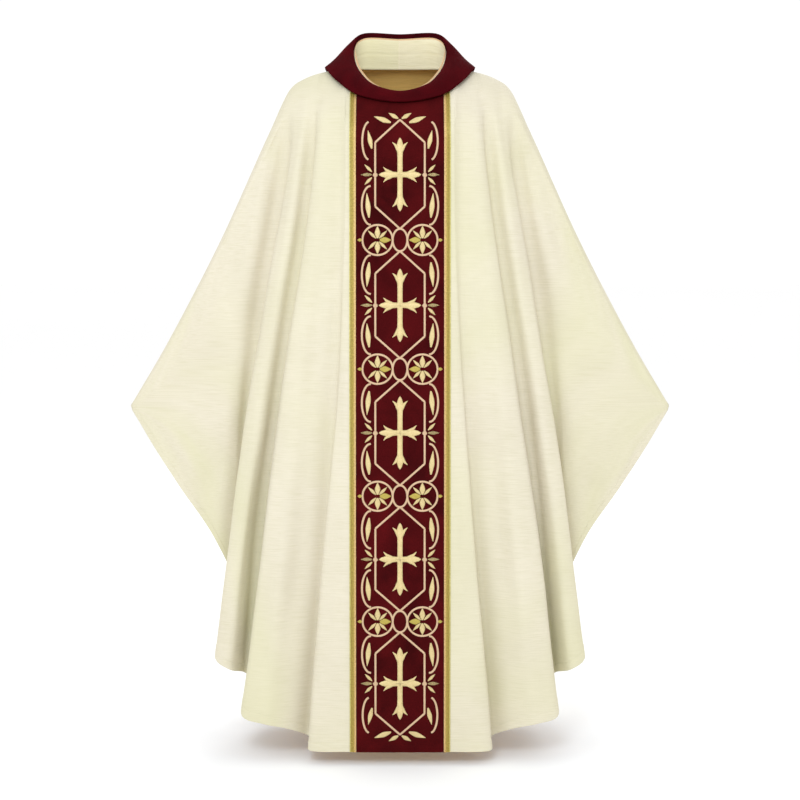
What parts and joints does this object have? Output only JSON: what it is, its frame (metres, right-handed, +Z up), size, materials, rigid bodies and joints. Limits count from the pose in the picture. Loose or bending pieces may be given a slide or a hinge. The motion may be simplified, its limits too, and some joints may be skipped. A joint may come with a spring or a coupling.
{
  "type": "gothic chasuble",
  "caption": "Full gothic chasuble in its worn form, hollow: draped front and back, roll collar, and a velvet band down the front with woven braid and raised embroidered crosses.",
  "frame": {"origin": "middle of the neck base, level with the shoulders that carry the garment", "axes": "+Z up, front of the garment toward -Y, +X to the viewer's right seen from the front"},
  "size_m": [1, 0.3632, 1.3106],
  "materials": {
    "cream_cloth": "soft matt wool blend with a fine uneven crosswise slub",
    "velvet": "short cut pile velvet with a soft sheen",
    "galloon": "woven metallic braid",
    "embroidery": "satin stitch in gold and pale thread"
  },
  "bodies": {
    "root": {"front_panel": "cream_cloth", "back_panel": "cream_cloth", "orphrey": "velvet", "galloon_left": "galloon", "galloon_right": "galloon", "collar": "velvet", "neckband": "cream_cloth", "cross_1": "embroidery", "cross_2": "embroidery", "cross_3": "embroidery", "cross_4": "embroidery", "cross_5": "embroidery"}
  },
  "joints": []
}
